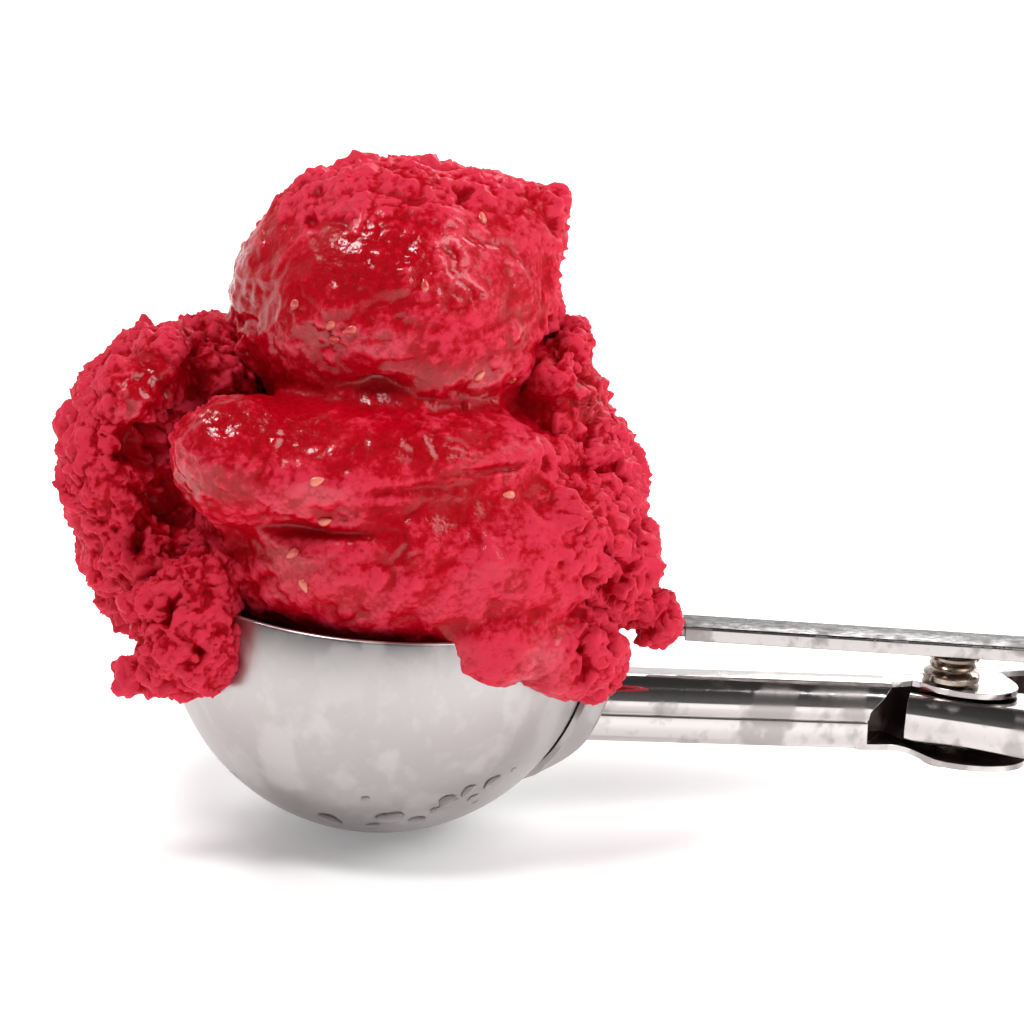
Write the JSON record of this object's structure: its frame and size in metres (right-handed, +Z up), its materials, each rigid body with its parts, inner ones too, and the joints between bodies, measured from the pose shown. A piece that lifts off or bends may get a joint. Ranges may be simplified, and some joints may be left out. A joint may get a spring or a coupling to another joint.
{
  "type": "ice cream scoop filled with sorbet",
  "caption": "Squeeze-handle steel ice cream scoop lying on its round bowl, heaped with raspberry sorbet; the near handle and rack arm turn on one pivot.",
  "frame": {"origin": "centre of the small flat spot under the bowl, on the surface that the scoop lies on", "axes": "+Z up out of the bowl's mouth, +X from the bowl along the handles, +Y away from the moving handle"},
  "size_m": [0.2193, 0.0641, 0.095],
  "materials": {
    "brushed_steel": "satin stainless steel with fine scratches and smears",
    "polished_steel": "polished stainless steel with smudges",
    "sorbet": "wet, crumbly raspberry sorbet"
  },
  "bodies": {
    "scoop": {"bowl": "brushed_steel", "saddle": "brushed_steel", "bowl_arm": "polished_steel", "sorbet": "sorbet"},
    "lever": {"near_handle": "polished_steel", "pivot_rivet": "polished_steel", "rack_arm": "brushed_steel"}
  },
  "joints": [
    {"name": "squeeze", "type": "hinge", "parent": "scoop", "child": "lever", "pos_m": [0.08207, 0.0015, 0.01185], "axis": [0.0767, 0, 0.9971], "range_deg": [0, 10], "stiffness_Nm_per_rad": 0.3, "springref_deg": -8.59}
  ]
}
